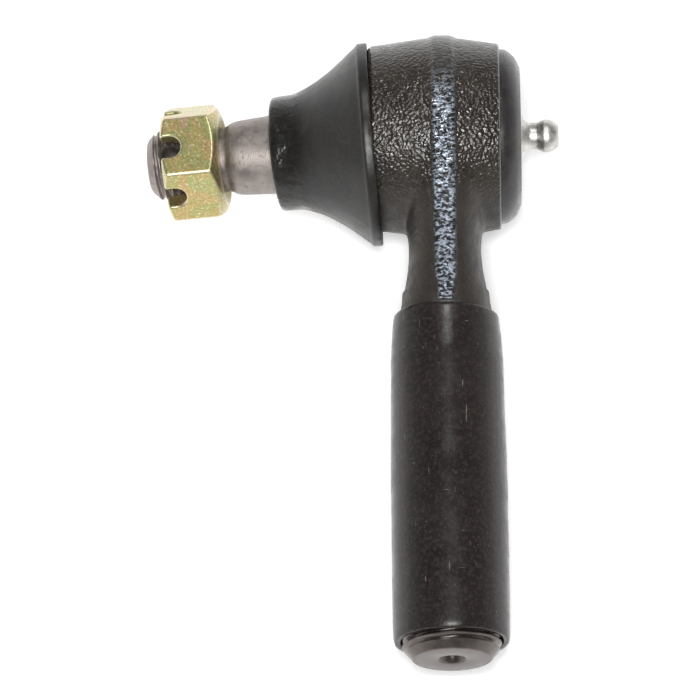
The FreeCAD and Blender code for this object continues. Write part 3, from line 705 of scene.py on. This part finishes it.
# ------------------------------------------------------------------ thread protector sleeve
sl_out = [(37.7, 10.3), (37.82, 10.42), (38.4, 10.55), (41.3, 10.85), (44.2, 11.05), (47.2, 11.25), (56.0, 11.35),
          (64.8, 11.5), (73.6, 11.64), (88.0, 11.66), (101.0, 11.65), (104.4, 11.55), (105.2, 11.38), (105.45, 11.2), (105.5, 11.0)]
sl_in = [(105.5, 10.4), (105.3, 10.2), (104.5, 10.1), (101.5, 10.03), (60.0, 10.02), (37.75, 10.02)]
sl_prof = fine(sl_out, 0.8) + fine(sl_in, 1.6)


def sleeve_place(a, r, th):
    top = np.clip(1.0 - (a - 37.7) / 6.0, 0, 1) ** 2
    end = np.clip((a - 101.0) / 4.5, 0, 1) ** 2
    outer = r > 10.25
    shift = top * (0.16 * np.cos(th - 1.2) + 0.10 * np.sin(2 * th + 0.6) + 0.05 * np.sin(5 * th))
    shift = shift - end * (0.07 * np.sin(3 * th + 0.4) + 0.04 * np.sin(7 * th))
    aa = a + np.where(top > 0, np.maximum(shift, -0.02), shift)
    wob = 0.035 * np.cos(2 * th + a * 0.05) + 0.02 * np.sin(3 * th + a * 0.11)
    pts = np.stack([r * np.cos(th), -aa, r * np.sin(th)], axis=1)
    n = snoise(pts, 7.0, 11) * 0.045 + snoise(pts, 2.2, 12) * 0.012
    rr = r + np.where(outer, wob + n, 0.0)
    return np.stack([rr * np.cos(th), -aa, rr * np.sin(th)], axis=1)


sleeve = revolve("protector_sleeve", sl_prof, seg=160, closed=True, place=sleeve_place, angle=50)
assign(sleeve, M["vinyl"])

# ------------------------------------------------------------------ ball stud
s_rows, s_rad = helix_rows(45.4, 58.9, 1.5, 6.95, 6.08, 10, fade_in=1.2,
                           cap=lambda a: np.where(a > 57.4, 6.95 - (a - 57.4) * 0.98, 6.95))
ball = []
for i in range(29):
    ang = math.pi - math.acos(9.3 / 12.5) + (math.asin(7.3 / 12.5) - (math.pi - math.acos(9.3 / 12.5))) * i / 28
    ball.append((12.45 * math.cos(ang), 12.45 * math.sin(ang)))
stud_prof = [(-9.3, 0.0)] + ball + [(10.6, 7.25), (14.5, 7.3), (15.5, 7.34), (17.0, 7.57), (18.2, 7.8), (19.5, 8.15)]
stud_prof += fine([(20.6, 8.5), (21.5, 8.68), (40.0, 7.53)], 1.2)
stud_prof += [(40.6, 7.48), (41.1, 7.42), (41.6, 7.32), (42.0, 7.2), (42.35, 7.05), (42.7, 6.87), (43.0, 6.68), (43.3, 6.54), (43.6, 6.48),
              (44.2, 6.45), (45.1, 6.45)] + [(a, 6.5) for a in s_rows]
stud_prof += [(59.1, 5.2), (59.22, 5.02), (59.3, 4.8), (59.3, 2.6), (59.24, 0.0)]
s_set = set(s_rows)
stud = revolve("taper_ball_stud", stud_prof, rot=STUD, seg=128,
               radius=lambda a, th, r: s_rad(a, th) if a[0] in s_set else r, angle=30)
tn = math.radians(2.0)
hole_dir = -math.sin(tn) * EY + math.cos(tn) * EZ
hole_side = math.cos(tn) * EY + math.sin(tn) * EZ
hole_rot = np.stack([hole_dir, S, np.cross(hole_dir, S)], axis=1)
drill = revolve("drill", [(-9.0, 0.0), (-9.0, 3.6), (-6.1, 1.85), (-5.6, 1.6), (5.6, 1.6), (6.1, 1.85), (9.0, 3.6), (9.0, 0.0)],
                rot=hole_rot, seg=48)
drill.data.transform(Matrix.Translation(Vector(S * 54.4 * MM)))
boolean(stud, drill, "DIFFERENCE")
shade(stud, 32)
assign(stud, M["stud"])

# ------------------------------------------------------------------ slotted nut
NF, NH = 44.2, 11.7
nut_n = [math.cos(tn + k * math.pi / 3) * EZ - math.sin(tn + k * math.pi / 3) * EY for k in range(6)]
nut_w = [math.sin(tn + k * math.pi / 3) * EZ + math.cos(tn + k * math.pi / 3) * EY for k in range(6)]


def nut_field(P, k=0.5, parts=False):
    a = P @ S
    u, v = P @ EY, P @ EZ
    r = np.hypot(u, v)
    hexd = P @ nut_n[0] - 10.5
    for n in nut_n[1:]:
        hexd = smax(hexd, P @ n - 10.5, k)
    c1 = (r - 9.1 - (a - NF) * 1.78) * 0.49                 # washer side chamfer
    c2 = (r - 10.05 - (NF + NH - a) * 1.95) * 0.456         # slotted side chamfer
    d = smax(smax(hexd, c1, k * 0.7), c2, k * 0.7)
    d = smax(d, NF - a, k * 0.7)
    d = smax(d, a - NF - NH, k)
    rc = NF + NH - (4.3 - 2.25)
    for i in range(3):
        t = P @ nut_w[i]
        s = np.where(a > rc, np.abs(t) - 2.25, np.hypot(a - rc, t) - 2.25)
        d = smax(d, -s, k)
    th = np.arctan2(v, u)
    ph = (a / 1.5 - th / (2 * math.pi)) % 1.0
    groove = np.clip(1.0 - np.abs(ph - 0.5) * 2.6, 0, 1) * 0.62
    groove = groove * step01(a, NF + 0.6, NF + 1.6) * (1 - step01(a, NF + NH - 1.6, NF + NH - 0.6))
    bore_r = 7.04 + groove + np.maximum(0, NF + 0.95 - a) + np.maximum(0, a - NF - NH + 0.6) * 0.8
    d = smax(d, (bore_r - r) * 0.8, 0.12)
    return d


def nut_mesh():
    # built square to its own axes, then turned onto the stud
    B = np.stack([S, EY, EZ], axis=1)
    V, Q = surface(lambda p: nut_field(p @ B.T), (NF - 0.6, -12.8, -12.8), (NF + NH + 0.6, 12.8, 12.8), 0.17, rounds=3)
    W = V @ B.T
    sharp = nut_field(W, 0.02)
    wear = np.clip(-sharp / 0.07, 0, 1) ** 1.2
    rr = np.hypot(V[:, 1], V[:, 2])
    wear = np.where(rr < 7.9, 0.15, wear)
    W = W + 0.0
    n1 = snoise(W, 2.6, 21) * 0.02
    cen = S * (NF + NH / 2)
    dirv = W - cen
    dirv /= np.linalg.norm(dirv, axis=1)[:, None]
    W = W + dirv * np.where(rr > 8.2, n1, 0)[:, None]
    ob = make("castle_nut", W, Q, angle=50)
    attribute(ob, "wear", wear)
    return ob


nut = nut_mesh()
assign(nut, M["chromate"])

# ------------------------------------------------------------------ dust boot
LIP_C = np.array([-13.65, -0.98, -0.74])
LIP_N = np.array([-1.0, -0.0596, -0.0375])
LIP_N /= np.linalg.norm(LIP_N)


def station(at):
    t = min(1.0, max(0.0, (at - 15.8) / (28.5 - 15.8)))
    w = t * t * (3 - 2 * t)
    c = (LIP_C + LIP_N * (at - 13.6)) * (1 - w) + S * at * w
    n = LIP_N * (1 - w) + S * w
    return c, n / np.linalg.norm(n)


def boot_place(a, r, th):
    c, n = station(a[0])
    up = np.array([0, 0, 1.0]) - n * n[2]
    up /= np.linalg.norm(up)
    side = np.cross(up, n)
    rr = r
    pts = c + rr[:, None] * (np.cos(th)[:, None] * side + np.sin(th)[:, None] * up)
    if r[0] > 10.8 or a[0] < 28:
        rad = np.cos(th)[:, None] * side + np.sin(th)[:, None] * up
        wave = snoise(pts, 9.0, 31) * 0.05 + snoise(pts, 2.5, 32) * 0.012
        outer = a[0] > 14.5 and r[0] > 10.9
        if outer:
            pts = pts + rad * wave[:, None]
        if a[0] < 14.1 and r[0] > 19.9:
            torn = np.clip(snoise(pts, 1.1, 33) * 1.6 - 0.25, 0, 1) * 0.22
            pts = pts - rad * torn[:, None] + n * (torn * 0.7)[:, None]
    return pts


def curve(points, step):
    """Smooth curve through 2-D points, divided evenly."""
    P = [np.array(p, float) for p in points]
    P = [2 * P[0] - P[1]] + P + [2 * P[-1] - P[-2]]
    out = []
    for i in range(1, len(P) - 2):
        n = max(1, int(np.linalg.norm(P[i + 1] - P[i]) / step))
        for s in range(n):
            t = s / n
            out.append(tuple(0.5 * ((2 * P[i]) + (-P[i - 1] + P[i + 1]) * t
                                    + (2 * P[i - 1] - 5 * P[i] + 4 * P[i + 1] - P[i + 2]) * t * t
                                    + (-P[i - 1] + 3 * P[i] - 3 * P[i + 1] + P[i + 2]) * t ** 3)))
    out.append(tuple(P[-2]))
    return out


boot_out = [(13.6, 20.05), (13.62, 20.2), (13.75, 20.32), (14.0, 20.35)] + fine([(14.3, 20.37), (15.25, 20.37)], 0.4) \
    + [(15.5, 20.3), (15.7, 20.12), (15.86, 19.88), (16.05, 19.72)] \
    + curve([(16.3, 19.5), (17.4, 18.6), (19.1, 17.17), (20.8, 15.86), (22.6, 14.66), (24.3, 13.64), (26.0, 12.82),
             (27.6, 12.18), (29.0, 11.74)], 0.45) \
    + [(29.7, 11.62), (30.5, 11.56), (31.6, 11.53), (32.7, 11.48), (33.2, 11.4), (33.45, 11.26), (33.6, 11.02), (33.65, 10.75)]
boot_in = [(33.65, 8.8), (33.6, 8.6), (33.4, 8.45), (32.15, 8.43), (32.1, 8.5), (32.1, 9.75), (29.2, 9.75), (29.2, 8.52), (29.1, 8.47), (28.6, 8.68)] \
    + curve([(28.3, 9.1), (26.9, 10.7), (24.3, 12.4), (20.8, 14.75), (18.3, 16.8)], 1.0) + [(17.8, 17.5), (16.4, 18.3), (15.6, 19.15), (13.65, 19.17)]
boot = revolve("rubber_dust_boot", boot_out + boot_in, seg=176, closed=True, place=boot_place, angle=48)
assign(boot, M["rubber"])

# ------------------------------------------------------------------ end plug and grease nipple
plug_prof = rounded([(10.97, 15.6), (11.1, 15.82), (13.22, 15.82), (13.22, 10.4), (13.57, 9.3), (14.5, 6.75), (14.9, 5.7),
                     (14.9, 3.0), (12.75, 3.0), (12.75, 5.0), (11.95, 7.2), (11.75, 8.4), (11.75, 13.75),
                     (10.97, 14.1)], 0.25, closed=True)
plug = revolve("rolled_in_plug", plug_prof, seg=160, closed=True, angle=35)
assign(plug, M["turned_black"])
nip_prof = [(12.9, 0.6), (12.9, 2.6), (13.2, 2.97), (14.92, 2.97), (14.92, 4.5), (15.0, 4.63), (15.2, 4.64), (15.42, 4.52), (15.6, 4.38), (15.85, 4.02),
            (16.1, 3.66), (16.4, 3.28), (16.7, 3.0), (17.1, 2.78), (17.5, 2.69), (18.0, 2.68), (18.6, 2.68), (18.75, 2.71), (19.0, 2.8), (19.45, 2.97),
            (19.9, 3.16), (20.1, 3.25), (20.3, 3.3), (20.95, 3.3), (21.15, 3.27), (21.5, 3.16), (21.9, 3.0), (22.3, 2.77), (22.6, 2.55), (22.85, 2.3), (23.0, 2.12), (23.08, 1.95),
            (23.1, 1.75), (23.1, 0.98), (23.02, 0.88), (22.75, 0.8), (22.05, 1.2), (15.3, 1.2), (15.3, 0.6)]
nipple = revolve("zinc_grease_nipple", nip_prof, seg=96, closed=True, angle=40)
assign(nipple, M["zinc"])



def coil_spring(name, x0, x1, radius, wire, turns, closed_turns):
    """Closed-end compression spring along X."""
    per, ring = 28, 12
    n = int(turns * per)
    t = np.arange(n + 1) / per
    rate = np.where((t < closed_turns) | (t > turns - closed_turns), 2.15 * wire, 0.0)
    free = (x1 - x0 - 2 * wire - 2 * closed_turns * 2.15 * wire) / (turns - 2 * closed_turns)
    rate = np.where(rate > 0, rate, free)
    x = x0 + wire + np.concatenate([[0], np.cumsum((rate[:-1] + rate[1:]) / 2 / per)])
    x = x0 + wire + (x - x[0]) * (x1 - x0 - 2 * wire) / (x[-1] - x[0])
    cen = np.stack([x, radius * np.cos(2 * math.pi * t), radius * np.sin(2 * math.pi * t)], axis=1)
    tan = np.gradient(cen, axis=0)
    tan /= np.linalg.norm(tan, axis=1)[:, None]
    rad = np.stack([0 * t, np.cos(2 * math.pi * t), np.sin(2 * math.pi * t)], axis=1)
    bi = np.cross(tan, rad)
    bi /= np.linalg.norm(bi, axis=1)[:, None]
    rad = np.cross(bi, tan)
    verts, faces = [], []
    for i in range(n + 1):
        for j in range(ring):
            a = 2 * math.pi * j / ring
            verts.append(cen[i] + wire * (math.cos(a) * rad[i] + math.sin(a) * bi[i]))
    for i in range(n):
        for j in range(ring):
            k = (j + 1) % ring
            faces.append((i * ring + j, i * ring + k, (i + 1) * ring + k, (i + 1) * ring + j))
    faces.append(tuple(reversed(range(ring))))
    faces.append(tuple(n * ring + j for j in range(ring)))
    return make(name, verts, outward(verts, faces), angle=50)


valve_spring = coil_spring("check_valve_spring", 15.34, 20.9, 0.88, 0.16, 6.8, 0.9)
assign(valve_spring, M["spring"])

# ------------------------------------------------------------------ hidden CAD nodes keep their shape
for node, key in (("upper_bearing", "polymer"), ("pressure_seat", "polymer"), ("pressure_spring", "spring"),
                  ("boot_collar_ring", "ring"), ("nipple_check_ball", "spring")):
    ob = N[node]
    if len(ob.data.materials) == 0:
        ob.data.materials.append(M[key])
    for i in range(len(ob.data.materials)):
        ob.data.materials[i] = M[key]

for ob, node, body, slot in ((housing, "housing", "socket", "forging"), (sleeve, "thread_protector", "protector", "vinyl_sleeve"),
                             (stud, "ball_stud", "stud", "stud_steel"), (nut, "slotted_nut", "nut", "nut_chromate"),
                             (plug, "end_plug", "socket", "plug_steel"), (nipple, "grease_nipple_body", "socket", "nipple_zinc")):
    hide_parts(node)
    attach(ob, body)
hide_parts("nipple_check_spring")
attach(valve_spring, "socket")
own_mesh(valve_spring)
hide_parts("dust_boot")
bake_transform(boot)

# ------------------------------------------------------------------ floor
low = 1e9
for ob in (housing, sleeve, boot, nut, stud):
    c = coords(ob)
    low = min(low, float((c[:, 2] + 0.0466 * c[:, 1]).min()))


def ramp_y(y):
    # the slope under the part, easing to level ground in front of it and behind it
    if y < -95.0:
        t = min(-95.0 - y, 20.0)
        return -95.0 - t + t * t / 40.0
    t = min(max(0.0, y - 33.0), 70.0)
    return min(y, 33.0) + t - t * t / 140.0


def hollow(x, y):
    # the ground falls away where the stud and its nut swing and come off
    return 14.5 * float(step01(-x, 20.0, 50.0) * (1 - step01(-x, 95.0, 190.0)) * (1 - step01(abs(y), 26.0, 80.0)))


def floor_mesh():
    n, half = 160, 1500.0
    verts, faces = [], []
    for i in range(n + 1):
        for j in range(n + 1):
            w = 2 * i / n - 1
            u = 2 * j / n - 1
            x = -30 + half * (0.12 * w + 0.88 * w ** 3)
            y = -40 + half * (0.12 * u + 0.88 * u ** 3)
            verts.append((x, y, low - 0.0466 * ramp_y(y) - 0.03 - hollow(x, y)))
    for i in range(n):
        for j in range(n):
            a = i * (n + 1) + j
            faces.append((a, a + n + 1, a + n + 2, a + 1))
    return make("floor", verts, faces)


floor = floor_mesh()
mf = Nodes("pale_floor")
mf.set(color=mf.colors(mf.noise(8, 2.0), [(0.3, (0.92, 0.92, 0.92)), (0.7, (0.95, 0.95, 0.95))]), rough=0.8, spec=0.2)
mf.b.inputs["Emission Color"].default_value = (1, 1, 1, 1)
mf.b.inputs["Emission Strength"].default_value = 0.28
assign(floor, mf.m)

# ------------------------------------------------------------------ camera
g = math.radians(0.9)
elev = math.radians(72.2)
up0 = Vector((0, math.sin(elev), math.cos(elev)))
back = Vector((0, -math.cos(elev), math.sin(elev)))
xr = Vector((1, 0, 0))
right = xr * math.cos(g) - up0 * math.sin(g)
up = xr * math.sin(g) + up0 * math.cos(g)
look = Vector((-19.27, -40.18, -12.9)) * MM
cam_data = bpy.data.cameras.new("camera")
cam = bpy.data.objects.new("camera", cam_data)
bpy.context.scene.collection.objects.link(cam)
cam_data.sensor_width = 36.0
cam_data.lens = 36.0 * 3.0 / 0.140
cam_data.clip_start = 0.05
cam_data.clip_end = 20.0
loc = look + back * 3.0
cam.matrix_world = Matrix(((right.x, up.x, back.x, loc.x), (right.y, up.y, back.y, loc.y),
                           (right.z, up.z, back.z, loc.z), (0, 0, 0, 1)))
bpy.context.scene.camera = cam


# ------------------------------------------------------------------ light
def area(name, position, target, size, power, size_y=None, color=(1, 1, 1)):
    d = bpy.data.lights.new(name, "AREA")
    d.shape = "RECTANGLE"
    d.size = size
    d.size_y = size_y or size
    d.energy = power
    d.color = color
    o = bpy.data.objects.new(name, d)
    bpy.context.scene.collection.objects.link(o)
    o.visible_camera = False
    o.location = position
    o.rotation_euler = (Vector(target) - Vector(position)).to_track_quat("-Z", "Y").to_euler()
    return o


mid = (-0.015, -0.035, 0.0)
area("key", (-0.04, -0.50, 1.06), mid, 0.44, 8.5, 0.62)
area("strip", (0.02, 0.60, 1.02), mid, 0.18, 3.4, 0.16)
area("front", (-0.03, -0.27, 1.15), mid, 0.2, 5.0, 0.16)
world = bpy.data.worlds.new("studio")
bpy.context.scene.world = world
world.use_nodes = True
wt = world.node_tree
wc = wt.nodes.new("ShaderNodeTexCoord")
ws = wt.nodes.new("ShaderNodeSeparateXYZ")
wr = wt.nodes.new("ShaderNodeMapRange")
wr.interpolation_type = "SMOOTHSTEP"
wr.inputs["From Min"].default_value = 0.0
wr.inputs["From Max"].default_value = 0.65
wr.inputs["To Min"].default_value = 0.8
wr.inputs["To Max"].default_value = 0.14
wt.links.new(wc.outputs["Generated"], ws.inputs[0])
wt.links.new(ws.outputs["Z"], wr.inputs["Value"])
wt.links.new(wr.outputs[0], wt.nodes["Background"].inputs[1])
wt.nodes["Background"].inputs[0].default_value = (1, 1, 1, 1)
bpy.context.scene.view_settings.view_transform = "Standard"
